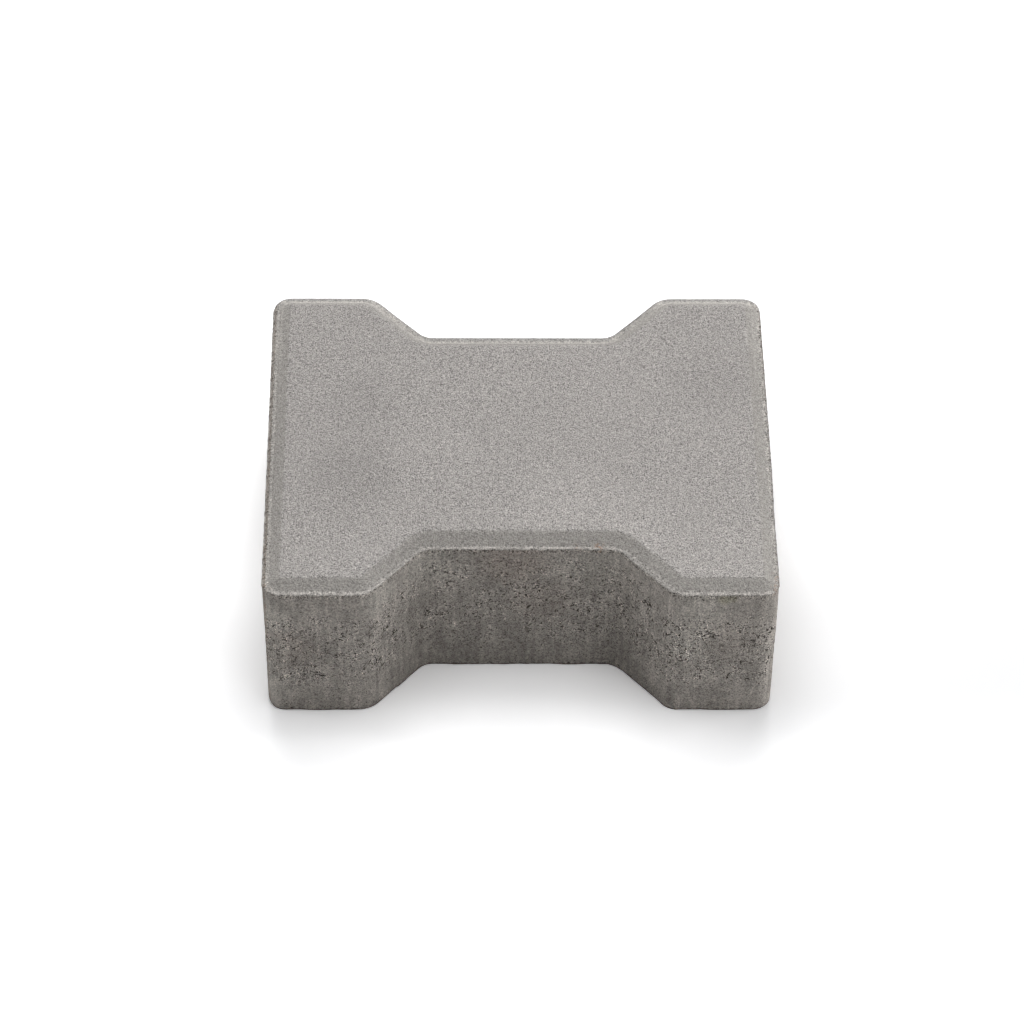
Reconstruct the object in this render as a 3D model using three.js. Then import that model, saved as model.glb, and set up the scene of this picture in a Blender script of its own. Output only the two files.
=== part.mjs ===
// Double-T interlocking paving stone: one piece of pressed concrete.
// Two wide heads are joined by a narrower web, and the heads of the next row fit the two notches.
// The tamper that closed the mould left a flat top, a chamfer round it and a narrow ledge at its foot.
// Millimetres, +Z up. The origin is at the centre of the bed face, X runs from head to head.
import * as THREE from "three";

// Plan of the stone
const length = 197;              // over both heads, along X
const width = 162;               // over a head, along Y
const notchMouth = 116;          // between the heads' shoulders, before rounding
const notchFloor = 74;           // flat at the bottom of a notch, before rounding
const notchDepth = 23.2;         // from the heads' faces to the notch floor
const cornerRound = 7.6;         // the four outer corners
const shoulderRound = 10.7;      // where a head turns into a notch
const notchRound = 7.6;          // inside corners at the notch floor

// Section of the stone
const thickness = 70;            // bed face to wearing face
const chamferDrop = 2.8;         // wearing face down to the ledge
const chamferRun = 4.5;          // chamfer, seen from above
const ledgeWidth = 2.6;          // joint face to the foot of the chamfer
const rimRound = 1.0;            // rounded edge between the joint face and the ledge

// Fineness of the round stretches
const cornerSteps = 10;          // straight segments in each plan corner
const rimSteps = 5;              // straight segments across the rounded rim
const leastRound = 0.2;          // a corner never gets sharper than this when the outline is inset

// Corners of the plan, anticlockwise seen from above, each with the rounding that it gets.
function planCorners() {
  const floorY = width / 2 - notchDepth;
  const rightFront = [
    { x: notchFloor / 2, y: -floorY, round: notchRound },
    { x: notchMouth / 2, y: -width / 2, round: shoulderRound },
    { x: length / 2, y: -width / 2, round: cornerRound },
  ];
  const mirrored = (corners, sx, sy) => corners.map((c) => ({ x: sx * c.x, y: sy * c.y, round: c.round }));
  return [
    ...rightFront,
    ...mirrored(rightFront, 1, -1).reverse(),
    ...mirrored(rightFront, -1, -1),
    ...mirrored(rightFront, -1, 1).reverse(),
  ];
}

// Unit vector that points out of the stone from the side that runs from one corner to the next.
function outwardNormal(from, to) {
  return new THREE.Vector2(to.y - from.y, from.x - to.x).normalize();
}

// Rounded corner of the outline moved inwards by inset: the arc keeps the centre of the full-size one.
function insetCorner(before, corner, after, inset) {
  const normalIn = outwardNormal(before, corner);
  const normalOut = outwardNormal(corner, after);
  const bulges = normalIn.cross(normalOut) > 0;
  const radius = bulges ? Math.max(corner.round - inset, leastRound) : corner.round + inset;
  const side = bulges ? 1 : -1;
  const miter = normalIn.clone().add(normalOut);
  miter.divideScalar(miter.dot(normalIn));
  const centre = new THREE.Vector2(corner.x, corner.y).addScaledVector(miter, -inset - side * radius);
  const startAngle = normalIn.angle();
  const turn = Math.atan2(normalIn.cross(normalOut), normalIn.dot(normalOut));
  const points = [];
  for (let step = 0; step <= cornerSteps; step++) {
    const angle = startAngle + (turn * step) / cornerSteps;
    const reach = new THREE.Vector2(Math.cos(angle), Math.sin(angle)).multiplyScalar(side * radius);
    points.push(centre.clone().add(reach));
  }
  return points;
}

// The whole outline, moved inwards by inset.
function insetOutline(inset) {
  const corners = planCorners();
  return corners.flatMap((corner, i) => {
    const before = corners[(i + corners.length - 1) % corners.length];
    const after = corners[(i + 1) % corners.length];
    return insetCorner(before, corner, after, inset);
  });
}

// Section through the edge, from the bed face up to the wearing face.
function edgeSection() {
  const ledgeHeight = thickness - chamferDrop;
  const section = [{ inset: 0, z: 0 }];
  for (let step = 0; step <= rimSteps; step++) {
    const angle = ((Math.PI / 2) * step) / rimSteps;
    section.push({
      inset: rimRound * (1 - Math.cos(angle)),
      z: ledgeHeight - rimRound * (1 - Math.sin(angle)),
    });
  }
  section.push({ inset: ledgeWidth, z: ledgeHeight });
  section.push({ inset: ledgeWidth + chamferRun, z: thickness });
  return section;
}

// Closed solid whose outline follows the section: side walls ring by ring, then the two flat faces.
function loftedSolid(section) {
  const rings = section.map((level) => insetOutline(level.inset));
  const count = rings[0].length;
  const positions = rings.flatMap((ring, i) => ring.flatMap((point) => [point.x, point.y, section[i].z]));
  const indices = [];
  for (let level = 0; level < rings.length - 1; level++) {
    for (let i = 0; i < count; i++) {
      const lower = level * count + i;
      const lowerNext = level * count + ((i + 1) % count);
      indices.push(lower, lowerNext, lowerNext + count);
      indices.push(lower, lowerNext + count, lower + count);
    }
  }
  const topStart = (rings.length - 1) * count;
  for (const [a, b, c] of THREE.ShapeUtils.triangulateShape(rings[0], [])) {
    indices.push(a, c, b);
  }
  for (const [a, b, c] of THREE.ShapeUtils.triangulateShape(rings[rings.length - 1], [])) {
    indices.push(topStart + a, topStart + b, topStart + c);
  }
  const geometry = new THREE.BufferGeometry();
  geometry.setAttribute("position", new THREE.Float32BufferAttribute(positions, 3));
  geometry.setIndex(indices);
  geometry.computeVertexNormals();
  return geometry;
}

const concrete = new THREE.MeshStandardMaterial({ color: 0xa09d99, roughness: 0.93, metalness: 0 });

const pavingStone = new THREE.Mesh(loftedSolid(edgeSection()), concrete);
pavingStone.name = "paving_stone";

const model = new THREE.Group();
model.add(pavingStone);

export default model;
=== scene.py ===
import math
import random
from types import SimpleNamespace

import bmesh
import bpy
from mathutils import Matrix, Vector, kdtree, noise


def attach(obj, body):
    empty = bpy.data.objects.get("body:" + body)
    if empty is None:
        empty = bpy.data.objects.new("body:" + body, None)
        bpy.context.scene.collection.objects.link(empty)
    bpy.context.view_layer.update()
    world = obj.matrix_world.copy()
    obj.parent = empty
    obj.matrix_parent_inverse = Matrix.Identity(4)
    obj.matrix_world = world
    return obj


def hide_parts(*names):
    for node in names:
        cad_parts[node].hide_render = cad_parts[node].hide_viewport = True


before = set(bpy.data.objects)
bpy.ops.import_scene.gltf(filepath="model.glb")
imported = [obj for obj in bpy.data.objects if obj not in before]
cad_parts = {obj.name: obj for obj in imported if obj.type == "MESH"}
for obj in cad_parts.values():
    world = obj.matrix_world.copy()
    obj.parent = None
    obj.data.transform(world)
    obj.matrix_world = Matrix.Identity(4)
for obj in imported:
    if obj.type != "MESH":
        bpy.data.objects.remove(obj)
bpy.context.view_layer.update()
mm = 0.001
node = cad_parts["paving_stone"]

# The stone's surface, cut finely enough to take the relief.
stone = {
    "columnStep": 0.72 * mm,  # along the joint faces and the chamfer
    "rowStep": 1.07 * mm,  # up the joint faces
    "ledgeRows": 2,
    "chamferRows": 6,
    "arrisRow": 0.6 * mm,  # narrow strip of the wearing face along the chamfer
    "topStep": 1.75 * mm,  # grid on the wearing face
    "bedStep": 4.5 * mm,  # grid on the bed face, which keeps clear of its edge
    "snap": 0.12 * mm,  # a cut this near a point goes through it
    "tight": 0.06 * mm,  # points this near each other on the wearing face are too crowded
    "crowded": 0.15 * mm,  # and then those nearer than this become one
    "same": 0.001 * mm,  # points and heights nearer than this are the same
    "near": 0.1 * mm,  # this far from a level is clear of it
    "diagonal": 1.01,  # an edge this much longer than the shortest one runs askew
    "flatAngle": math.radians(0.1),  # faces that turn less than this are one flat face
}


def inPlane(height, parts):
    return [p for p in parts if all(abs(v.co.z - height) < stone["same"] for v in p.verts)]


def acrossPlane(height, bm):
    flat = set(inPlane(height, bm.faces))
    return [e for e in bm.edges if flat.issuperset(e.link_faces)]


def levels(bm):  # heights of the points, from the bed face up
    return sorted({round(v.co.z, 6) for v in bm.verts})


def mergedCopy(source):
    bm = bmesh.new()
    bm.from_mesh(source.data)
    bmesh.ops.remove_doubles(bm, verts=bm.verts, dist=stone["same"])
    ledge = levels(bm)[-2]
    across = acrossPlane(ledge, bm)
    straight = stone["diagonal"] * min(e.calc_length() for e in across)
    diagonals = [e for e in across if e.calc_length() > straight]
    bmesh.ops.dissolve_edges(bm, edges=diagonals, use_verts=False)
    onLedge = set(inPlane(ledge, bm.edges))
    others = [e for e in bm.edges if e not in onLedge]
    bmesh.ops.dissolve_limit(bm, angle_limit=stone["flatAngle"], verts=[], edges=others)
    return bm


def risingEdges(bm, lowest, highest):
    return [
        e
        for e in bm.edges
        if min(v.co.z for v in e.verts) < lowest and max(v.co.z for v in e.verts) > highest
    ]


def ringsAbove(edge):
    rings = [edge]
    face = next(f for f in edge.link_faces if len(f.verts) == 4)
    while len(face.verts) == 4:  # the top face ends the climb
        edge = next(e for e in face.edges if not set(e.verts) & set(edge.verts))
        rings.append(edge)
        face = next(f for f in edge.link_faces if f != face)
    return rings


def cutColumns(bm):
    stretches = [ringsAbove(e) for e in inPlane(0.0, bm.edges)]
    for rings in stretches:  # one at a time, or the flat faces get split too
        for edge in rings:
            edge.seam = True  # marks the rings, and their cut pieces keep it
        cuts = round(rings[0].calc_length() / stone["columnStep"]) - 1
        if cuts > 0:
            bmesh.ops.subdivide_edges(bm, edges=rings, cuts=cuts)


def cutGrid(bm, face, step):
    corners = [v.co.copy() for v in face.verts]
    geometry = [face, *face.edges, *face.verts]
    for axis in (Vector((1, 0, 0)), Vector((0, 1, 0))):
        reach = max(abs(c.dot(axis)) for c in corners)
        count = int(reach / step)
        for k in range(-count, count + 1):
            result = bmesh.ops.bisect_plane(
                bm, geom=geometry, dist=stone["snap"], plane_co=axis * step * k, plane_no=axis
            )
            geometry = result["geom"]


def thinCorners(bm, top):  # the columns crowd together at the corners of the wearing face
    short = [e for e in inPlane(top, bm.edges) if e.calc_length() < stone["tight"]]
    crowded = {v for e in short for v in e.verts}
    inOrder = [v for v in bm.verts if v in crowded]
    bmesh.ops.remove_doubles(bm, verts=inOrder, dist=stone["crowded"])


def surfaceMesh():
    bm = mergedCopy(node)
    heights = levels(bm)
    wallTop, ledge, top = heights[1], heights[-2], heights[-1]
    near = stone["near"]
    bmesh.ops.subdivide_edges(bm, edges=acrossPlane(ledge, bm), cuts=stone["ledgeRows"] - 1)
    chamfer = risingEdges(bm, ledge + near, top - near)
    bmesh.ops.subdivide_edges(bm, edges=chamfer, cuts=stone["chamferRows"] - 1)
    cutColumns(bm)
    wearing = inPlane(top, bm.faces)[0]
    bmesh.ops.inset_region(bm, faces=[wearing], thickness=stone["arrisRow"], use_even_offset=True)
    cutGrid(bm, wearing, stone["topStep"])
    cutGrid(bm, inPlane(0.0, bm.faces)[0], stone["bedStep"])
    wall = risingEdges(bm, near, wallTop - near)
    bmesh.ops.subdivide_edges(bm, edges=wall, cuts=round(wallTop / stone["rowStep"]) - 1)
    rim = [e for e in bm.edges if all(wallTop - near < v.co.z < ledge + near for v in e.verts)]
    bmesh.ops.subdivide_edges(bm, edges=[e for e in rim if e.seam], cuts=1)
    thinCorners(bm, top)
    manySided = [f for f in bm.faces if len(f.verts) > 4]
    bmesh.ops.triangulate(bm, faces=manySided)  # while they are flat
    for edge in bm.edges:
        edge.seam = False
    return bm, wallTop / mm, ledge / mm, top / mm


print("cutting the stone's surface")
bm, wallTop, ledge, top = surfaceMesh()
print("surface:", len(bm.verts), "points,", sum(len(f.verts) - 2 for f in bm.faces), "triangles")
mesh = bpy.data.meshes.new("pavingStone")

# Relief of the pressed concrete, in millimetres. All of it stays inside the solid's box.
relief = {
    "wallSink": 0.15,  # the rim stands this far proud of the joint faces
    "wave": 0.14,  # long unevenness of the joint faces
    "streak": 0.08,  # marks drawn by the mould
    "rough": 0.26,  # open grain in the middle of the joint faces
    "closed": 0.2,  # share of that grain all over them
    "undercut": 0.3,  # hollow line just under the rim
    # the ledge's pale outer part is partly paler concrete and partly painted highlight, left off the notch's
    # right slope, which faces away from the light
    "paleEdge": 1.6,  # width of the ledge's pale outer part
    "paleLoss": 0.55,  # share of that width lost on the front notch's slopes
    "paleSoft": (0.4, 0.3),  # how far it fades before and after its width
    # the brink is a painted shade line on the rim's rounded outer edge
    "brinkReach": (1.2, 0.4, 0.3),  # width of the dark line at the back, more facing back, more on the heads
    "brinkSoft": 0.5,
    "rightBrink": (0.3, 0.7),  # strength of the dark line at the right end, at the back and in front
    "crisp": 0.98,  # the front edge is nearly sharp
    "blunted": 0.25,  # but less so at the torn places
    "frayed": 0.03,  # the rim's outer edge is set back this far all round
    "torn": 0.28,  # and up to this much further, in teeth
    "tornMore": {"front": 0.4, "back": -0.85, "ends": -0.6},
    "worn": 1.1,  # the left edge is worn to a bevel
    "wornReach": 1.9,
    "wornTeeth": (0.5, 0.7),  # share of that wear all along, and more in the teeth
    "ledgeSlope": 0.3,  # fall of the ledge towards its outer edge, per mm, but not in front
    "backSlope": 0.14,
    "webSlope": -0.08,  # along the back of the web it rises a little
    "ledgeGrain": 0.1,
    "backCalm": 0.6,  # share of the ledge's grain lost at the back
    "chamferGrain": 0.06,
    "arris": 0.14,  # wear of the chamfer's upper edge
    "headRun": 0.45,  # the front chamfer runs this much further in along the heads
    "webRun": 1.6,  # and this much along the web
    "runFade": 9.0,  # the wearing face takes up the extra run over this much
    "topGrain": 0.08,
    "topWave": 0.06,
    "bedGrain": 0.25,
    "webSet": 0.28,  # the front of the web is set back
    "lean": 0.45,  # the left end leans in towards its foot
    "rightSet": 0.38,  # the upper edge of the right end is set back in front
    "foot": 0.16,  # the lower edge is set back, but for some lumps
    "footEven": 0.7,  # share of that all along
    "lumps": (Vector((-78, -81, 0)), Vector((-16, -58, 0)), Vector((78, -81, 0)), Vector((20, -58, 0))),
    "lumpFill": 0.9,  # share of the set-back that a lump fills
    "pressShift": Vector((0.2, -0.5, 0.0)),  # the tamper came down a little off centre
    "pits": 3200,  # in all, on the joint faces
    "pitHeights": (1.0, wallTop - 0.5),
    "pitRadius": (0.5, 1.15),
    "pitDepth": (0.2, 0.75),
    "pitJitter": 0.4,
    "pitChance": (0.05, 0.4),  # anywhere, and near the rim
    "bandPower": 1.5,  # the higher, the more the pits keep to the open band
    "sizePower": 2.5,  # the higher, the fewer large pits
    "seed": 7,
}

patterns = {  # size across and up the stone in mm, and seed
    "openBand": (14, 9, 3.1),
    "wave": (24, 24, 5.0),
    "streak": (1.9, 34, 1.7),
    "rough": (2.3, 2.3, 9.0),
    "undercut": (3.0, 3.0, 4.0),
    "smallTeeth": (1.0, 1.0, 6.0),
    "largeTeeth": (3.2, 3.2, 8.0),
    "ledgeGrain": (1.6, 1.6, 14.0),
    "chamferGrain": (2.4, 2.4, 1.0),
    "arris": (2.6, 2.6, 12.0),
    "topGrain": (3.4, 3.4, 2.0),
    "topWave": (40, 40, 11.0),
    "lump": (9.0, 9.0, 7.0),
    "foot": (1.5, 1.5, 7.5),
    "bedGrain": (9.0, 9.0, 3.0),
}
contrast = 0.8  # how far a pattern swings from its mean

spans = {  # from where an effect is nothing to where it is full
    # heights
    "bandStart": (12, 24),
    "bandEnd": (44, 56),
    "underRim": (wallTop - 2.6, wallTop - 0.9),
    "pitsByRim": (wallTop - 2.5, wallTop - 1.0),
    "ledgeFall": (wallTop - 7, wallTop),
    "aboveFoot": (0, 1.6),
    "rightSet": (45, 66),
    # along X and Y
    "webToHead": (36, 50),
    "runToHead": (32, 50),
    "rightSlope": (30, 45),
    "towardsFront": (10, 40),
    "towardsBack": (-20, 60),
    # from the joint face inwards
    "pastRim": (1.2, 2.2),
    "rightBrink": (0.8, 1.3),
    "lumpReach": (2.0, 8.0),
    # how squarely a side faces the front, the back or an end
    "front": (0.1, 0.7),
    "frontRun": (0.3, 0.7),
    "webFront": (0.3, 0.9),
    "oblique": (0.3, 0.6),
    "fullFront": (0.75, 0.95),
    "slopeTurn": (0.2, 0.5),
    "back": (0.2, 0.6),
    "fullBack": (0.85, 0.97),
    "end": (0.5, 0.95),
    "rimEnd": (0.6, 0.95),
    "brinkEnd": (0.8, 0.97),
    # how much a normal points up
    "ledge": (0.85, 1.0),
    "sideToTop": (0.4, 0.7),
    # patterns
    "bandPatch": (0.2, 0.75),
    "underPatch": (0.2, 0.75),
    "teeth": (0.25, 0.75),
    "lump": (0.62, 0.78),
}

sameLevel = 0.01  # mm
steepArris = 0.99  # a normal on the wearing face that points up less than this is at its edge
steepFoot = 0.95  # the same for the bed face
levelNormal = 0.2  # a normal that leans out less than this is on the ledge


def wobble(place, pattern):  # 0 to 1, with 0.5 as its mean
    across, along, seed = patterns[pattern]
    shifted = Vector((place.x / across + seed, place.y / across - seed, place.z / along + 2 * seed))
    return min(max(0.5 + contrast * noise.noise(shifted), 0.0), 1.0)


def ramp(value, span):
    low, high = span
    t = min(max((value - low) / (high - low), 0.0), 1.0)
    return t * t * (3 - 2 * t)


def between(pair, share):
    return pair[0] + share * (pair[1] - pair[0])


def seenFromAbove(vector):
    return Vector((vector.x, vector.y, 0.0))


def atWeb(place):
    return 1 - ramp(abs(place.x), spans["webToHead"])


def openBand(place):
    middle = ramp(place.z, spans["bandStart"]) * (1 - ramp(place.z, spans["bandEnd"]))
    return middle * ramp(wobble(place, "openBand"), spans["bandPatch"])


def wallDepth(place):
    depth = relief["wallSink"]
    for name in ("wave", "streak"):
        depth += relief[name] * wobble(place, name)
    depth += relief["rough"] * (relief["closed"] + openBand(place)) * wobble(place, "rough")
    under = ramp(place.z, spans["underRim"])
    return depth + under * relief["undercut"] * ramp(wobble(place, "undercut"), spans["underPatch"])


def rimOutward(normal, toWall):
    outward = seenFromAbove(normal)
    if outward.length < levelNormal:
        outward = toWall.copy()
    return outward.normalized()


# partly painted highlight, which the notch's right slope does not get
def paleEdge(place, outward, toWall):
    oblique = ramp(-outward.y, spans["oblique"]) * (1 - ramp(-outward.y, spans["fullFront"]))
    turned = ramp(-outward.x, spans["slopeTurn"]) * ramp(-outward.y, spans["slopeTurn"])
    dull = ramp(place.x, spans["rightSlope"]) * turned
    reach = relief["paleEdge"] * (1 - relief["paleLoss"] * oblique)
    before, after = relief["paleSoft"]
    return (1 - dull) * (1 - ramp(toWall.length, (reach - before, reach + after)))


# painted shade line on the rim's outer edge, at the back and at the right end
def brinkShadeLine(place, outward, toWall):
    if outward.x > spans["brinkEnd"][0]:  # the right end has a fainter and narrower one
        line = ramp(outward.x, spans["brinkEnd"]) * (1 - ramp(toWall.length, spans["rightBrink"]))
        return line * between(relief["rightBrink"], 1 - ramp(place.y, spans["towardsBack"]))
    width, wider, onHeads = relief["brinkReach"]
    reach = width + ramp(outward.y, spans["fullBack"]) * (wider + onHeads * (1 - atWeb(place)))
    return ramp(outward.y, spans["back"]) * (1 - ramp(toWall.length, (reach, reach + relief["brinkSoft"])))


def ledgeFall(place, outward, run):
    front = ramp(-outward.y, spans["front"])
    back = ramp(outward.y, spans["back"])
    backSlope = between((relief["backSlope"], relief["webSlope"]), atWeb(place))
    slope = between((relief["ledgeSlope"], backSlope), back)
    return slope * (1 - front) * max(run, 0.0)


def rimMove(place, normal, outward, toWall, ledgeWidth):
    onPlan = seenFromAbove(place)
    bite = (wobble(onPlan, "smallTeeth") + wobble(onPlan, "largeTeeth")) / 2
    teeth = ramp(bite, spans["teeth"])
    front = ramp(-outward.y, spans["front"])
    back = ramp(outward.y, spans["back"])
    across = math.sqrt(max(1 - normal.z**2, 0.0))
    squared = 1 / max(normal.z, across) - 1  # from the rounding out to the square corner
    move = normal * squared * relief["crisp"] * front * (1 - relief["blunted"] * teeth)
    outer = (1 - ramp(normal.z, spans["ledge"])) * (1 - ramp(toWall.length, spans["pastRim"]))
    more = relief["tornMore"]
    torn = 1 + more["front"] * front + more["back"] * back
    torn += more["ends"] * ramp(abs(outward.x), spans["rimEnd"])
    move -= outward * outer * (relief["frayed"] + relief["torn"] * torn * teeth)
    fall = ledgeFall(place, outward, ledgeWidth - toWall.length)
    bevel = max(normal.z - toWall.length / relief["wornReach"], 0.0)
    allAlong, inTeeth = relief["wornTeeth"]
    fall += relief["worn"] * ramp(-outward.x, spans["rimEnd"]) * bevel * (allAlong + inTeeth * teeth)
    fall += relief["ledgeGrain"] * (1 - relief["backCalm"] * back) * wobble(place, "ledgeGrain")
    return move - Vector((0, 0, fall))


def outOfTrue(place, outward):
    depth = relief["webSet"] * atWeb(place) * ramp(-outward.y, spans["webFront"])
    depth += relief["lean"] * ramp(-outward.x, spans["end"]) * (1 - min(place.z / wallTop, 1.0))
    rightFront = ramp(outward.x, spans["end"]) * ramp(-place.y, spans["towardsFront"])
    depth += relief["rightSet"] * rightFront * ramp(place.z, spans["rightSet"])
    return -outward * depth


def extraRun(place, outward):
    web = 1 - ramp(abs(place.x), spans["runToHead"])
    run = between((relief["headRun"], relief["webRun"]), web)
    return -outward * run * ramp(-outward.y, spans["frontRun"])


def footDepth(place):
    lump = ramp(wobble(place, "lump"), spans["lump"])
    for centre in relief["lumps"]:
        lump = max(lump, 1 - ramp((place - centre).length, spans["lumpReach"]))
    setBack = relief["wallSink"] + relief["foot"] * between((relief["footEven"], 1.0), wobble(place, "foot"))
    return setBack * (1 - relief["lumpFill"] * lump)


def scatterPits(places):
    rng = random.Random(relief["seed"])
    anywhere, byRim = relief["pitChance"]
    pits = []
    while len(pits) < relief["pits"]:
        place = rng.choice(places)
        likely = max(
            anywhere,
            openBand(place) ** relief["bandPower"],
            byRim * ramp(place.z, spans["pitsByRim"]),
        )
        if rng.random() < likely:
            size = rng.random() ** relief["sizePower"]
            jitter = Vector([rng.uniform(-relief["pitJitter"], relief["pitJitter"]) for _ in range(3)])
            radius = between(relief["pitRadius"], size)
            pits.append((place + jitter, radius, between(relief["pitDepth"], size)))
    return pits


def pitDepth(place, found):
    depth = 0.0
    for _, index, distance in found.pitTree.find_range(place, relief["pitRadius"][1]):
        _, radius, deepest = found.pits[index]
        if distance < radius:
            depth = max(depth, deepest * (1 - (distance / radius) ** 2))
    return depth


def treeOf(points):
    tree = kdtree.KDTree(len(points))
    for index, point in enumerate(points):
        tree.insert(point, index)
    tree.balance()
    return tree


def survey(verts, places, normals):  # what the moves of single points need to know of the whole
    found = SimpleNamespace()
    lowest, highest = relief["pitHeights"]
    found.pits = scatterPits([p for p in places if lowest < p.z < highest])
    found.pitTree = treeOf([place for place, _, _ in found.pits])
    found.edgeTree = treeOf([seenFromAbove(p) for p in places if abs(p.z - wallTop) < sameLevel])
    onLedge = [seenFromAbove(p) for p in places if abs(p.z - ledge) < sameLevel]
    found.ledgeWidth = max(found.edgeTree.find(p)[2] for p in onLedge)
    onTop = [v for v in verts if abs(places[v.index].z - top) < sameLevel]
    found.arris = [v for v in onTop if normals[v.index].z < steepArris]
    found.arrisTree = treeOf([places[v.index] for v in found.arris])
    return found


def bedMove(place, normal, outward):
    move = -normal * relief["bedGrain"] * wobble(place, "bedGrain")
    if abs(normal.z) < steepFoot:
        move -= outward * footDepth(place)
        move += outOfTrue(place, outward)
    return move


def topMove(place, normal, found, normals):
    depth = relief["topGrain"] * wobble(place, "topGrain") + relief["topWave"] * wobble(place, "topWave")
    move = -normal * depth
    edge, index, apart = found.arrisTree.find(place)
    outward = seenFromAbove(normals[found.arris[index].index]).normalized()
    move += extraRun(edge, outward) * (1 - ramp(apart, (0, relief["runFade"])))
    if normal.z < steepArris:
        move -= normal * relief["arris"] * wobble(place, "arris")
    return move


def shiftImprint(bm, places):  # returns the points at the chamfer's foot
    foot = set()
    for v, place in zip(bm.verts, places):
        if abs(place.z - ledge) < sameLevel:
            if any(places[w.index].z > ledge + sameLevel for f in v.link_faces for w in f.verts):
                foot.add(v)
        if place.z > ledge + sameLevel or v in foot:
            v.co += relief["pressShift"] * mm
    return foot


def giveRelief(bm):
    bm.normal_update()
    bm.verts.index_update()
    hollow, upright, pale, brink = (
        bm.verts.layers.float.new(name) for name in ("hollow", "upright", "pale", "brink")
    )
    places = [v.co / mm for v in bm.verts]
    normals = [v.normal.copy() for v in bm.verts]
    found = survey(bm.verts, places, normals)
    for v, place, normal in zip(bm.verts, places, normals):
        outward = seenFromAbove(normal).normalized()
        if place.z < sameLevel:
            move = bedMove(place, normal, outward)
        elif place.z < wallTop - sameLevel:
            holes = pitDepth(place, found)
            wall = ramp(place.z, spans["aboveFoot"])
            depth = between((footDepth(place), wallDepth(place) + holes), wall)
            move = -normal * depth + outOfTrue(place, outward)
            move.z -= ledgeFall(place, outward, found.ledgeWidth) * ramp(place.z, spans["ledgeFall"])
            v[hollow] = min(holes / relief["pitDepth"][1], 1.0)
            v[upright] = 1.0
        elif place.z < ledge + sameLevel:
            onPlan = seenFromAbove(place)
            toWall = found.edgeTree.find(onPlan)[0] - onPlan
            outward = rimOutward(normal, toWall)
            move = rimMove(place, normal, outward, toWall, found.ledgeWidth)
            move += outOfTrue(place, outward) * max(1 - toWall.length / found.ledgeWidth, 0.0)
            v[upright] = 1 - ramp(normal.z, spans["sideToTop"])
            v[pale] = paleEdge(place, outward, toWall) * (1 - v[upright])
            v[brink] = brinkShadeLine(place, outward, toWall)
        elif place.z < top - sameLevel:
            move = -normal * relief["chamferGrain"] * wobble(place, "chamferGrain")
            move += extraRun(place, outward) * (place.z - ledge) / (top - ledge)
        else:
            move = topMove(place, normal, found, normals)
        v.co += move * mm
    foot = shiftImprint(bm, places)
    arris = set(found.arris)
    for edge in bm.edges:
        edge.smooth = not (foot.issuperset(edge.verts) or arris.issuperset(edge.verts))


print("pressing the relief into it")
giveRelief(bm)
bm.to_mesh(mesh)
bm.free()
mesh.shade_smooth()
pavingStone = bpy.data.objects.new("pavingStone", mesh)
bpy.context.scene.collection.objects.link(pavingStone)
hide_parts("paving_stone")
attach(pavingStone, "root")

# Helpers for shader nodes.
def addNode(tree, kind, **settings):
    made = tree.nodes.new(kind)
    for name, value in settings.items():
        if name in made.inputs.keys():
            made.inputs[name].default_value = value
        else:
            setattr(made, name, value)
    return made


def feed(tree, socket, value):
    if isinstance(value, bpy.types.NodeSocket):
        tree.links.new(value, socket)
    elif isinstance(value, tuple):
        socket.default_value = (*value, 1.0)
    elif value is not None:
        socket.default_value = value


def calculate(tree, operation, first, second=None, third=None):
    made = addNode(tree, "ShaderNodeMath", operation=operation)
    for socket, value in zip(made.inputs, (first, second, third)):
        feed(tree, socket, value)
    return made.outputs["Value"]


def times(tree, *values):
    product = values[0]
    for value in values[1:]:
        product = calculate(tree, "MULTIPLY", product, value)
    return product


def addShare(tree, value, share, total):
    return calculate(tree, "MULTIPLY_ADD", value, share, total)


def remap(tree, value, span):  # a span is from and to, then what they become, or else 0 and 1
    made = addNode(tree, "ShaderNodeMapRange", interpolation_type="SMOOTHSTEP")
    limits = (*span, 0.0, 1.0)[:4]
    for name, limit in zip(("From Min", "From Max", "To Min", "To Max"), limits):
        made.inputs[name].default_value = limit
    tree.links.new(value, made.inputs["Value"])
    return made.outputs["Result"]


def within(tree, *limits):  # each limit is a value and its span
    return times(tree, *(remap(tree, value, span) for value, span in limits))


def blendColour(tree, factor, first, second):
    made = addNode(tree, "ShaderNodeMix", data_type="RGBA")
    for socket, value in zip((made.inputs[0], made.inputs[6], made.inputs[7]), (factor, first, second)):
        feed(tree, socket, value)
    return made.outputs[2]


def blendValue(tree, factor, first, second):
    made = addNode(tree, "ShaderNodeMix", data_type="FLOAT")
    for socket, value in zip((made.inputs[0], made.inputs[2], made.inputs[3]), (factor, first, second)):
        feed(tree, socket, value)
    return made.outputs[0]


def scaleVector(tree, vector, factor):
    made = addNode(tree, "ShaderNodeVectorMath", operation="SCALE")
    if isinstance(vector, tuple):
        made.inputs[0].default_value = vector
    else:
        tree.links.new(vector, made.inputs[0])
    tree.links.new(factor, made.inputs["Scale"])
    return made.outputs["Vector"]


def stretch(tree, vector, scale):
    made = addNode(tree, "ShaderNodeMapping")
    made.inputs["Scale"].default_value = scale
    tree.links.new(vector, made.inputs["Vector"])
    return made.outputs["Vector"]


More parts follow.
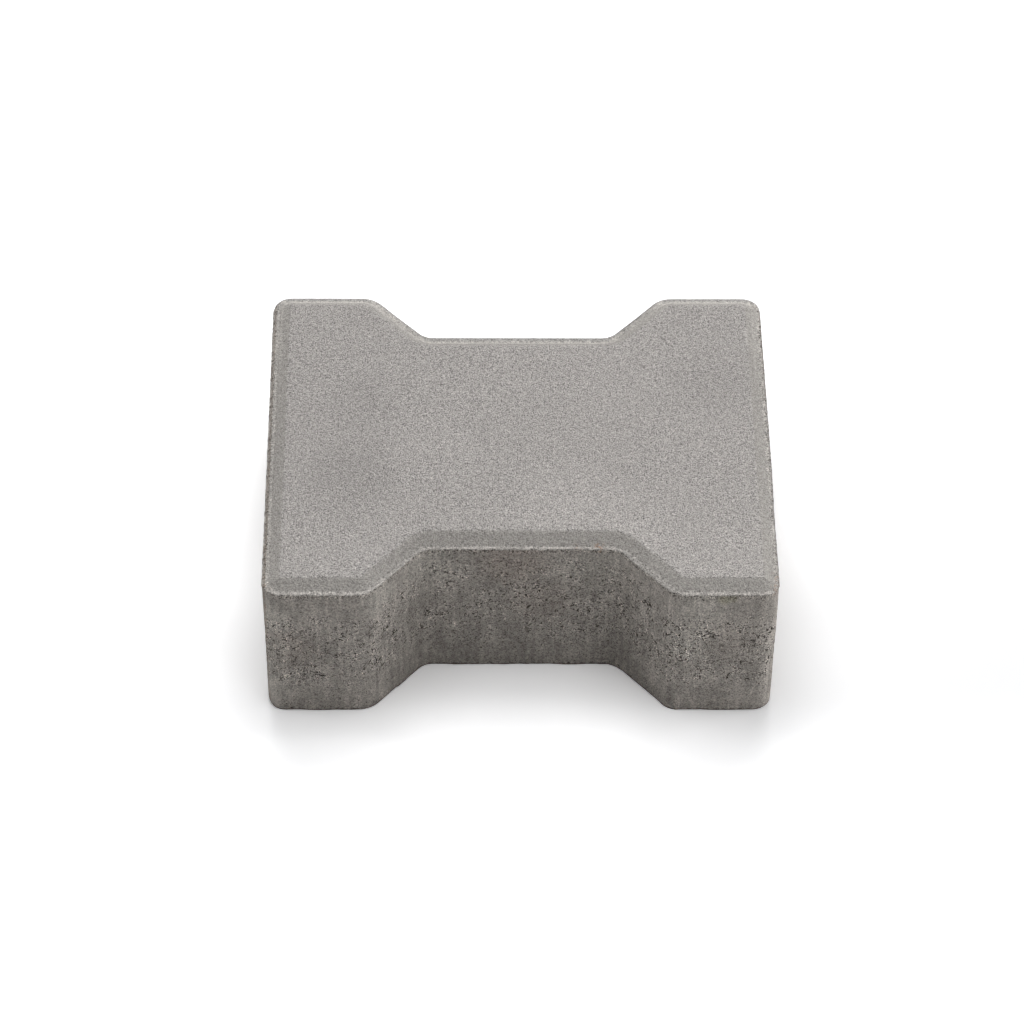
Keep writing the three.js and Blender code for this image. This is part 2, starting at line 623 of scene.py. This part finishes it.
def grainGroup():
    tree = bpy.data.node_groups.new("sandGrain", "ShaderNodeTree")
    tree.interface.new_socket("Place", in_out="INPUT", socket_type="NodeSocketVector")
    tree.interface.new_socket("Size", in_out="INPUT", socket_type="NodeSocketFloat")
    tree.interface.new_socket("Grain", in_out="OUTPUT", socket_type="NodeSocketFloat")
    start = addNode(tree, "NodeGroupInput")
    end = addNode(tree, "NodeGroupOutput")
    grains = addNode(tree, "ShaderNodeTexNoise", Detail=1.5, Roughness=0.6)
    tree.links.new(start.outputs["Place"], grains.inputs["Vector"])
    tree.links.new(calculate(tree, "DIVIDE", 1.0, start.outputs["Size"]), grains.inputs["Scale"])
    centred = calculate(tree, "SUBTRACT", grains.outputs["Fac"], 0.5)
    tree.links.new(centred, end.inputs["Grain"])
    return tree


def useGroup(tree, group, place, size):
    made = addNode(tree, "ShaderNodeGroup")
    made.node_tree = group
    made.inputs["Size"].default_value = size
    tree.links.new(place, made.inputs["Place"])
    return made.outputs[0]


# The concrete: its colours, its marks and where each of them lies.
concrete = {
    "face": (0.386, 0.366, 0.351),
    "chamfer": (0.366, 0.3475, 0.3265),
    "joint": (0.455, 0.420, 0.385),
    # the pale outer ledge, partly paler concrete and partly painted highlight
    "rim": (0.475, 0.448, 0.420),
    # painted shade on the rounded rim, at the left end and along the back's outer line
    "rimShade": (0.17, 0.135, 0.105),
    # colour of the painted shade line on the rim's outer edge
    "brink": (0.15, 0.15, 0.15),
    "stain": (0.30, 0.19, 0.13),
    "moss": (0.36, 0.34, 0.235),
    "darkPatch": (0.32, 0.268, 0.236),
    "palePatch": (0.53, 0.505, 0.46),
    # painted contact shadow along the lower edge of the joint faces
    "foot": (0.17, 0.13, 0.10),
    "pit": (0.06, 0.05, 0.04),
    "brinkShadeStrength": 0.6,
    "footShadowStrength": 0.75,
    "pitStrength": 0.9,
    "faceGrain": 3.1,
    "chamferGrain": 2.0,
    "ledgeGrain": 0.8,
    "jointGrain": 2.2,
    "openGrain": 6.4,
    "speckle": 0.3,  # share of the coarse grain
    "curlDepth": 0.2,  # fine winding marks in the open grain
    "openTone": 0.07,  # the open grain is this much paler
    "leastTone": 0.15,
    # painted light from the right
    "litTowardsRight": 0.0003,  # paler towards the right, per mm
    "roughness": 0.92,
    "specular": 0.3,
    "bump": {"fine": 0.35, "coarse": 0.35, "dots": -0.7},  # mm
}

faceTones = {  # how much paler or darker parts of the upper faces are
    # painted light on the ledge along the back
    "litBackRim": 0.4,
    "dull": -0.09,
    "bright": 0.07,
    # painted light on the back chamfer's lower part and the ledge below it
    "litBackChamfer": 0.05,
    "leftLedge": 0.17,
    "rightLedge": 0.1,
    "rightFront": -0.09,
    # painted shade on the chamfer in the notch
    "shadedNotchChamfer": -0.105,
}
wallTones = {"streak": 0.75, "patch": 0.65, "cluster": -0.5}  # the same for the joint faces

grains = {"fine": 0.5, "coarse": 1.3, "cluster": 4.2, "patch": 11.0}  # size in mm
opening = {
    "streakSize": 2.2,
    "drawnOut": 0.07,  # the streaks change this much more slowly up the wall than across it
    "crumbScale": 0.9,
    "crumbBend": 1.6,  # how far the crumbs bend the patterns below, in mm
    "squat": 1.5,  # and how much those are pressed together up the wall
    "stringSize": 5.5,  # pits in strings
    "curlSize": 2.1,
    "holeSize": 1.0,
    "strings": 0.8,  # share of each in the open grain
    "curls": 0.25,
    "hollows": 0.5,
    # more dark holes just under the rim, as painted shadow under the ledge
    "underRim": 0.4,
    "holeLevel": -0.17,  # holes open where their pattern lies below this
    "holeRise": 0.19,  # and more of them where the grain is open
    "sideRagged": 1.2,  # how ragged the grain makes some limits
    "footRagged": 2.4,
    "paleRagged": 2.2,
}

bands = {  # from where a mask is nothing to where it is full, and sometimes what it is there
    # along X, or across to both sides
    # where the left end's rim and front corner have painted shade
    "leftRimShade": (-96.6, -97.25, 0.0, 0.5),
    "leftRust": (-96.4, -97.1),
    "leftLedgeOut": (-97.3, -96.9),
    "leftLedgeIn": (-95.3, -95.8),
    "pastLeftEnd": (-97.5, -95),
    "rightLedgeOut": (97.4, 97.0),
    "rightLedgeIn": (96.0, 96.5),
    "rightHead": (48, 60),
    "leftOrRight": (-10, 10, 0.35, 0.8),
    "inNotch": (60, 34),
    "bandLower": (56, 36, 0.0, 7.0),  # the open band ends this much lower in the notch
    "clumpsAside": (36, 60, 0.35, 1.0),
    "clearOfEnds": (97, 92),
    "slopeIn": (38, 43),
    "slopeOut": (60, 55),
    "notchChamferAcross": (56, 40),
    # along Y
    "frontCorner": (-68, -74, 0.0, 0.6),
    "rimShadeFront": (30, -20, 1.0, 1.35),
    "rustCorner": (-76.0, -77.0, 0.0, 0.45),
    "outerShadeLineBack": (10, 40, 0.0, 0.45),
    "ledgeCalm": (40, 56, 1.0, 0.3),
    "pitsFront": (-56, -30, 1.0, 0.6),
    "lipsFront": (-56, -30, 0.6, 0.2),
    "frontLitFace": (-20, -75, 1.0, 1.07),
    "backHalf": (20, 50),
    "backEdge": (45, 52),
    "headEdge": (-72, -77),
    # heights
    # heights of the painted contact shadow at the foot
    "footShadow": (1.3, 0.3),
    "bandStart": (9, 25),
    "bandEnd": (61, 45),
    "wallPaler": (20, 66, 1.02, 1.05),
    "notchShade": (2, 60, 0.215, 0.03),
    # where the painted shadow under the rim lies
    "underRim": (wallTop - 2.2, wallTop - 0.4),
    "rim": (wallTop - 0.8, wallTop + 0.1),
    "pitted": (ledge - 0.25, ledge - 0.5),
    "outerShadeLine": (ledge - 0.5, ledge - 0.9),
    "ledge": (ledge + 0.15, ledge - 0.02),
    "backRimHeight": (ledge + 1.3, ledge + 0.5),
    "litBackChamfer": (top - 0.2, top - 0.5),
    "shadedNotchChamfer": (top - 0.3, top - 0.7),
    "face": (top - 0.45, top - 0.15),
    # patterns
    "side": (0.35, 0.65),
    "pale": (0.1, 0.7),
    "strings": (0.045, 0.01),
    "curls": (0.05, 0.0),
    "openPatch": (-0.14, 0.1, 0.4, 1.0),
    "clumps": (0.0, 0.14, 0.0, 0.45),
    "holes": (0.0, -0.03),
    "lipStart": (0.0, 0.02),
    "lipEnd": (0.08, 0.04),
    "patchy": (-0.05, 0.15),
    "rimShadePatchy": (-0.12, 0.12, 0.5, 1.25),
    "curlsOpen": (0.0, 0.5, 0.55, 1.0),
}

marks = {  # place in mm, reach in mm, strength
    "stain": [
        ((22.0, -56.0, 67.0), 2.5, 0.5),
        ((30.0, -56.3, 67.0), 3.0, 0.8),
        ((96.5, -71.5, 66.5), 3.0, 0.7),
        ((96.5, -77.0, 66.0), 3.5, 0.6),
        ((-96.8, -77.0, 66.5), 3.0, 0.5),
    ],
    "moss": [
        ((77.0, -81.0, 64.6), 3.8, 0.55),
        ((80.0, -81.0, 65.0), 2.8, 0.45),
    ],
    # darker patches of the joint faces
    "darkPatch": [
        ((-3.0, -57.8, 60.0), 19.0, 0.5),
        ((8.0, -57.8, 38.0), 17.0, 0.3),
        ((-89.0, -81.0, 36.0), 15.0, 0.35),
        ((78.0, -81.0, 40.0), 14.0, 0.2),
    ],
    "dull": [
        ((-64.0, -20.0, 70.0), 26.0, 1.0),
        ((-67.0, -37.0, 70.0), 18.0, 0.5),
        ((-62.0, 18.0, 70.0), 20.0, 0.8),
        ((78.0, 32.0, 70.0), 28.0, 0.8),
        ((72.0, 60.0, 70.0), 26.0, 0.4),
        ((-46.0, -68.0, 68.5), 14.0, 0.4),
        ((24.0, -55.0, 68.5), 16.0, 0.35),
    ],
    "bright": [
        ((19.0, -37.0, 70.0), 30.0, 1.0),
        ((38.0, -46.0, 70.0), 26.0, 0.8),
        ((-34.0, -10.0, 70.0), 24.0, 0.7),
        ((46.0, -68.0, 68.5), 14.0, 0.5),
    ],
    # paler patches of the joint faces
    "palePatch": [
        ((-36.0, -58.0, 60.0), 16.0, 0.45),
        ((-53.0, -76.0, 61.0), 12.0, 0.5),
        ((29.0, -57.8, 58.0), 15.0, 0.3),
        ((70.0, -81.0, 60.0), 14.0, 0.35),
        ((66.0, -81.0, 40.0), 14.0, 0.3),
        ((-97.0, -79.0, 54.0), 13.0, 0.5),
        ((-97.0, -79.0, 34.0), 13.0, 0.4),
        ((-97.0, -79.0, 14.0), 13.0, 0.4),
    ],
}
markCore = 0.3  # share of a mark's reach where it has its full strength


def markMask(tree, place, kind):
    mask = 0.0
    for centre, reach, strength in marks[kind]:
        apart = addNode(tree, "ShaderNodeVectorMath", operation="DISTANCE")
        apart.inputs[1].default_value = centre
        tree.links.new(place, apart.inputs[0])
        spot = remap(tree, apart.outputs["Value"], (reach, markCore * reach, 0.0, strength))
        mask = calculate(tree, "MAXIMUM", mask, spot)
    return mask


def measure(tree):  # places, attributes and patterns that the parts below share
    at = SimpleNamespace()
    whole = addNode(tree, "ShaderNodeTexCoord").outputs["Object"]
    at.place = stretch(tree, whole, (1 / mm, 1 / mm, 1 / mm))
    for name in ("hollow", "upright", "pale", "brink"):
        attribute = addNode(tree, "ShaderNodeAttribute", attribute_name=name)
        setattr(at, name, attribute.outputs["Fac"])
    split = addNode(tree, "ShaderNodeSeparateXYZ")
    tree.links.new(at.place, split.inputs["Vector"])
    at.x, at.y, at.z = split.outputs["X"], split.outputs["Y"], split.outputs["Z"]
    at.across = calculate(tree, "ABSOLUTE", at.x)
    at.group = grainGroup()
    for name, size in grains.items():
        setattr(at, name, useGroup(tree, at.group, at.place, size))
    along = stretch(tree, whole, (1 / mm, 1 / mm, opening["drawnOut"] / mm))
    at.streak = useGroup(tree, at.group, along, opening["streakSize"])
    at.side = remap(tree, addShare(tree, at.coarse, opening["sideRagged"], at.upright), bands["side"])
    at.onLedge = remap(tree, at.z, bands["ledge"])
    at.onTop = remap(tree, at.z, bands["face"])
    return at


def bentPlace(tree, at):
    crumbs = addNode(tree, "ShaderNodeTexNoise", Scale=opening["crumbScale"], Detail=1.0)
    tree.links.new(at.place, crumbs.inputs["Vector"])
    bent = addNode(tree, "ShaderNodeVectorMath", operation="MULTIPLY_ADD")
    tree.links.new(crumbs.outputs["Color"], bent.inputs[0])
    bent.inputs[1].default_value = (opening["crumbBend"],) * 3
    tree.links.new(at.place, bent.inputs[2])
    return stretch(tree, bent.outputs["Vector"], (1.0, 1.0, opening["squat"]))


def openGrain(tree, at):  # adds the holes of the joint faces, their lips and how open the grain is
    bent = bentPlace(tree, at)
    contour = calculate(tree, "ABSOLUTE", useGroup(tree, at.group, bent, opening["stringSize"]))
    curl = calculate(tree, "ABSOLUTE", useGroup(tree, at.group, bent, opening["curlSize"]))
    at.curls = remap(tree, curl, bands["curls"])
    bandTop = calculate(tree, "SUBTRACT", at.z, remap(tree, at.across, bands["bandLower"]))
    middle = within(tree, (at.z, bands["bandStart"]), (bandTop, bands["bandEnd"]))
    at.openness = times(tree, middle, remap(tree, at.patch, bands["openPatch"]))
    share = within(tree, (at.cluster, bands["clumps"]), (at.across, bands["clumpsAside"]))
    share = addShare(tree, remap(tree, contour, bands["strings"]), opening["strings"], share)
    share = addShare(tree, at.curls, opening["curls"], share)
    share = times(tree, share, at.openness, remap(tree, at.y, bands["pitsFront"]))
    share = addShare(tree, at.hollow, opening["hollows"], share)
    # painted shadow under the rim, as more dark holes
    at.share = addShare(tree, remap(tree, at.z, bands["underRim"]), opening["underRim"], share)
    level = addShare(tree, at.share, opening["holeRise"], opening["holeLevel"])
    holes = useGroup(tree, at.group, bent, opening["holeSize"])
    gap = calculate(tree, "SUBTRACT", holes, level)
    pitted = remap(tree, at.z, bands["pitted"])
    at.dots = times(tree, remap(tree, gap, bands["holes"]), pitted)
    lips = within(tree, (gap, bands["lipStart"]), (gap, bands["lipEnd"]))
    at.lips = times(tree, lips, pitted, at.share)


def cleanColour(tree, at):
    pale = remap(tree, addShare(tree, at.coarse, opening["paleRagged"], at.pale), bands["pale"])
    colour = blendColour(tree, at.onTop, concrete["chamfer"], concrete["face"])
    colour = blendColour(tree, times(tree, pale, at.onLedge), colour, concrete["rim"])
    return blendColour(tree, at.side, colour, concrete["joint"])


def stainedColour(tree, at, colour):
    patchy = remap(tree, at.coarse, bands["patchy"])
    for kind in ("darkPatch", "palePatch", "moss"):
        marked = times(tree, markMask(tree, at.place, kind), at.side)
        colour = blendColour(tree, marked, colour, concrete[kind])
    stained = times(tree, markMask(tree, at.place, "stain"), patchy)
    colour = blendColour(tree, stained, colour, concrete["stain"])
    # painted shade on the left end's worn rim and its front corner edge
    onRim = remap(tree, at.z, bands["rim"])
    shadedRim = calculate(tree, "MAXIMUM", onRim, remap(tree, at.y, bands["frontCorner"]))
    atLeft = within(
        tree, (at.x, bands["leftRimShade"]), (at.y, bands["rimShadeFront"]), (at.coarse, bands["rimShadePatchy"])
    )
    shadedRim = times(tree, shadedRim, atLeft)
    colour = blendColour(tree, shadedRim, colour, concrete["rimShade"])
    rust = times(tree, within(tree, (at.x, bands["leftRust"]), (at.y, bands["rustCorner"])), patchy)
    colour = blendColour(tree, rust, colour, concrete["stain"])
    # painted shade line on the back rim's rounded outer edge
    line = within(
        tree, (at.z, bands["outerShadeLine"]), (at.y, bands["outerShadeLineBack"]), (at.x, bands["pastLeftEnd"])
    )
    colour = blendColour(tree, times(tree, line, onRim), colour, concrete["rimShade"])
    # painted shade line on the rim's outer edge
    brink = times(tree, at.brink, concrete["brinkShadeStrength"])
    colour = blendColour(tree, brink, colour, concrete["brink"])
    # painted contact shadow along the foot of the joint faces
    raggedZ = addShare(tree, at.coarse, opening["footRagged"], at.z)
    foot = times(tree, remap(tree, raggedZ, bands["footShadow"]), concrete["footShadowStrength"])
    return blendColour(tree, foot, colour, concrete["foot"])


def grainTone(tree, at):
    onFace = remap(tree, at.onTop, (0.0, 1.0, concrete["chamferGrain"], concrete["faceGrain"]))
    calmLedge = times(tree, at.onLedge, remap(tree, at.y, bands["ledgeCalm"]))
    onFace = addShare(tree, calmLedge, concrete["ledgeGrain"], onFace)
    onWall = addShare(tree, at.share, concrete["openGrain"], concrete["jointGrain"])
    strength = blendValue(tree, at.side, onFace, onWall)
    speckle = addShare(tree, at.coarse, concrete["speckle"], at.fine)
    tone = addShare(tree, speckle, strength, 1.0)
    tone = calculate(tree, "ADD", times(tree, at.lips, remap(tree, at.y, bands["lipsFront"])), tone)
    curled = times(tree, at.curls, remap(tree, at.openness, bands["curlsOpen"]), at.side)
    tone = addShare(tree, curled, -concrete["curlDepth"], tone)
    tone = addShare(tree, times(tree, at.openness, at.side), concrete["openTone"], tone)
    return calculate(tree, "MAXIMUM", tone, concrete["leastTone"])


def faceTone(tree, at):
    slopes = within(
        tree, (at.across, bands["slopeIn"]), (at.across, bands["slopeOut"]), (at.x, bands["leftOrRight"])
    )
    # painted light on the ledge along the back
    litBackRim = within(
        tree, (at.y, bands["backHalf"]), (at.across, bands["clearOfEnds"]), (at.z, bands["backRimHeight"])
    )
    leftLedge = within(tree, (at.x, bands["leftLedgeOut"]), (at.x, bands["leftLedgeIn"]))
    rightLedge = within(tree, (at.x, bands["rightLedgeIn"]), (at.x, bands["rightLedgeOut"]))
    rightFront = within(tree, (at.x, bands["rightHead"]), (at.y, bands["headEdge"]))
    masks = {
        "litBackRim": times(tree, litBackRim, calculate(tree, "SUBTRACT", 1.0, slopes)),
        "dull": markMask(tree, at.place, "dull"),
        "bright": markMask(tree, at.place, "bright"),
        # painted light at the back
        "litBackChamfer": within(tree, (at.y, bands["backEdge"]), (at.z, bands["litBackChamfer"])),
        "leftLedge": times(tree, leftLedge, at.onLedge),
        "rightLedge": times(tree, rightLedge, at.onLedge),
        "rightFront": times(tree, rightFront, at.onLedge),
        # painted shade on the chamfer in the notch
        "shadedNotchChamfer": within(
            tree, (at.across, bands["notchChamferAcross"]), (at.z, bands["shadedNotchChamfer"])
        ),
    }
    # painted light, making the wearing face paler towards the front
    tone = remap(tree, at.y, bands["frontLitFace"])
    for name, mask in masks.items():
        tone = addShare(tree, mask, faceTones[name], tone)
    return tone


def wallTone(tree, at):
    tone = remap(tree, at.z, bands["wallPaler"])
    for name, share in wallTones.items():
        tone = addShare(tree, getattr(at, name), share, tone)
    shade = within(tree, (at.across, bands["inNotch"]), (at.z, bands["notchShade"]))
    return times(tree, tone, calculate(tree, "SUBTRACT", 1.0, times(tree, shade, at.side)))


def concreteBump(tree, at):
    height = 0.0
    for name, share in concrete["bump"].items():
        height = addShare(tree, getattr(at, name), share, height)
    bump = addNode(tree, "ShaderNodeBump", Distance=mm)
    tree.links.new(height, bump.inputs["Height"])
    return bump.outputs["Normal"]


def concreteMaterial():
    material = bpy.data.materials.new("pressedConcrete")
    material.use_nodes = True
    tree = material.node_tree
    tree.nodes.clear()
    at = measure(tree)
    openGrain(tree, at)
    colour = stainedColour(tree, at, cleanColour(tree, at))
    level = blendValue(tree, at.side, faceTone(tree, at), wallTone(tree, at))
    # painted light, paler towards the right
    level = addShare(tree, at.x, concrete["litTowardsRight"], level)
    colour = scaleVector(tree, colour, times(tree, grainTone(tree, at), level))
    colour = blendColour(tree, times(tree, at.dots, concrete["pitStrength"]), colour, concrete["pit"])
    surface = addNode(tree, "ShaderNodeBsdfPrincipled", Roughness=concrete["roughness"])
    surface.inputs["Specular IOR Level"].default_value = concrete["specular"]
    tree.links.new(colour, surface.inputs["Base Color"])
    tree.links.new(concreteBump(tree, at), surface.inputs["Normal"])
    output = addNode(tree, "ShaderNodeOutputMaterial")
    tree.links.new(surface.outputs["BSDF"], output.inputs["Surface"])
    return material


print("mixing the concrete")
mesh.materials.append(concreteMaterial())

# Floor, light and camera.
studio = {
    "floorSize": 8.0,
    "floorSeen": (1.435, 1.44, 1.455),  # to the camera, so that it stays white round the soft shadow
    "floorTone": 0.8,  # for the light that it throws back
    "boxes": {  # place in metres, width and power of each soft light
        "overhead": ((0.0, 0.0, 2.0), 2.0, 24.0),
        "high": ((0.0, 1.2, 1.6), 1.4, 11.8),
        "behind": ((0.0, 2.0, 0.7), 1.2, 12.9),
        "right": ((2.0, 0.2, 0.7), 1.2, 14.5),
        "left": ((-2.0, 0.2, 0.7), 1.2, 7.5),
        "front": ((1.4, -1.4, 1.0), 1.2, 4.6),
    },
}

# Painted shadow on the floor at the right and left, and painted light before the notch and the heads.
# The limits are in metres, and what a mask is there follows where it isn't 0 and 1.
paintedFloorShading = {
    "right": [("x", (0.06, 0.107, 0.0, 0.27)), ("y", (-0.125, -0.07)), ("y", (0.02, -0.04, 0.55, 1.0))],
    "left": [("x", (-0.06, -0.105, 0.0, 0.08)), ("y", (-0.015, -0.05))],
    "notch": [("across", (0.058, 0.036, 0.0, 0.075)), ("y", (-0.069, -0.083))],
    "heads": [("x", (-0.03, 0.03, 0.1, 0.035)), ("y", (-0.089, -0.1))],
}


# painted shadow beside the stone, and painted light in front, where the shadow ends
def floorColour(tree):  # darker beside the stone, and paler in front, where the shadow ends
    split = addNode(tree, "ShaderNodeSeparateXYZ")
    coordinates = addNode(tree, "ShaderNodeTexCoord")
    tree.links.new(coordinates.outputs["Object"], split.inputs["Vector"])
    at = {"x": split.outputs["X"], "y": split.outputs["Y"]}
    at["across"] = calculate(tree, "ABSOLUTE", at["x"])
    paintedShading = {
        name: within(tree, *((at[axis], span) for axis, span in limits))
        for name, limits in paintedFloorShading.items()
    }
    share = calculate(tree, "SUBTRACT", 1.0, paintedShading["right"])
    share = calculate(tree, "SUBTRACT", share, paintedShading["left"])
    share = calculate(tree, "ADD", share, calculate(tree, "MAXIMUM", paintedShading["notch"], paintedShading["heads"]))
    return scaleVector(tree, studio["floorSeen"], share)


def floorMaterial():
    material = bpy.data.materials.new("paleFloor")
    material.use_nodes = True
    tree = material.node_tree
    tree.nodes.clear()
    seen = addNode(tree, "ShaderNodeBsdfDiffuse")
    tree.links.new(floorColour(tree), seen.inputs["Color"])
    bounced = addNode(tree, "ShaderNodeBsdfDiffuse", Color=(studio["floorTone"],) * 3 + (1,))
    mix = addNode(tree, "ShaderNodeMixShader")
    path = addNode(tree, "ShaderNodeLightPath")
    output = addNode(tree, "ShaderNodeOutputMaterial")
    tree.links.new(path.outputs["Is Camera Ray"], mix.inputs[0])
    tree.links.new(bounced.outputs[0], mix.inputs[1])
    tree.links.new(seen.outputs[0], mix.inputs[2])
    tree.links.new(mix.outputs[0], output.inputs["Surface"])
    return material


def whiteFloor():
    bm = bmesh.new()
    bmesh.ops.create_grid(bm, x_segments=1, y_segments=1, size=studio["floorSize"] / 2)
    floorMesh = bpy.data.meshes.new("floor")
    bm.to_mesh(floorMesh)
    bm.free()
    floor = bpy.data.objects.new("floor", floorMesh)
    bpy.context.scene.collection.objects.link(floor)
    floorMesh.materials.append(floorMaterial())


def whiteWorld():
    world = bpy.data.worlds.new("studio")
    bpy.context.scene.world = world
    world.use_nodes = True
    tree = world.node_tree
    tree.nodes.clear()
    white = addNode(tree, "ShaderNodeBackground", Color=(1, 1, 1, 1))
    path = addNode(tree, "ShaderNodeLightPath")
    output = addNode(tree, "ShaderNodeOutputWorld")
    tree.links.new(path.outputs["Is Camera Ray"], white.inputs["Strength"])
    tree.links.new(white.outputs[0], output.inputs["Surface"])


def softBoxes():
    for name, (place, width, power) in studio["boxes"].items():
        data = bpy.data.lights.new(name, "AREA")
        data.shape = "DISK"
        data.size = width
        data.energy = power
        lamp = bpy.data.objects.new(name, data)
        lamp.location = place
        lamp.rotation_mode = "QUATERNION"
        lamp.rotation_quaternion = Vector(place).to_track_quat("Z", "Y")
        bpy.context.scene.collection.objects.link(lamp)


view = {
    "place": Vector((-0.0271, -1.0654, 1.1724)),
    "down": 0.8217,  # radians below level
    "right": 0.0233,  # turned from straight ahead
    "roll": 0.0176,
    "lens": 137.95,
    "sensor": 36.0,
}


def studioCamera():
    data = bpy.data.cameras.new("camera")
    data.sensor_width = view["sensor"]
    data.lens = view["lens"]
    camera = bpy.data.objects.new("camera", data)
    turn = Matrix.Rotation(-view["right"], 4, "Z")
    tilt = Matrix.Rotation(math.pi / 2 - view["down"], 4, "X")
    lean = Matrix.Rotation(view["roll"], 4, "Z")
    camera.matrix_world = Matrix.Translation(view["place"]) @ turn @ tilt @ lean
    bpy.context.scene.collection.objects.link(camera)
    bpy.context.scene.camera = camera


print("setting the studio")
whiteFloor()
whiteWorld()
softBoxes()
studioCamera()
bpy.context.scene.view_settings.view_transform = "Standard"
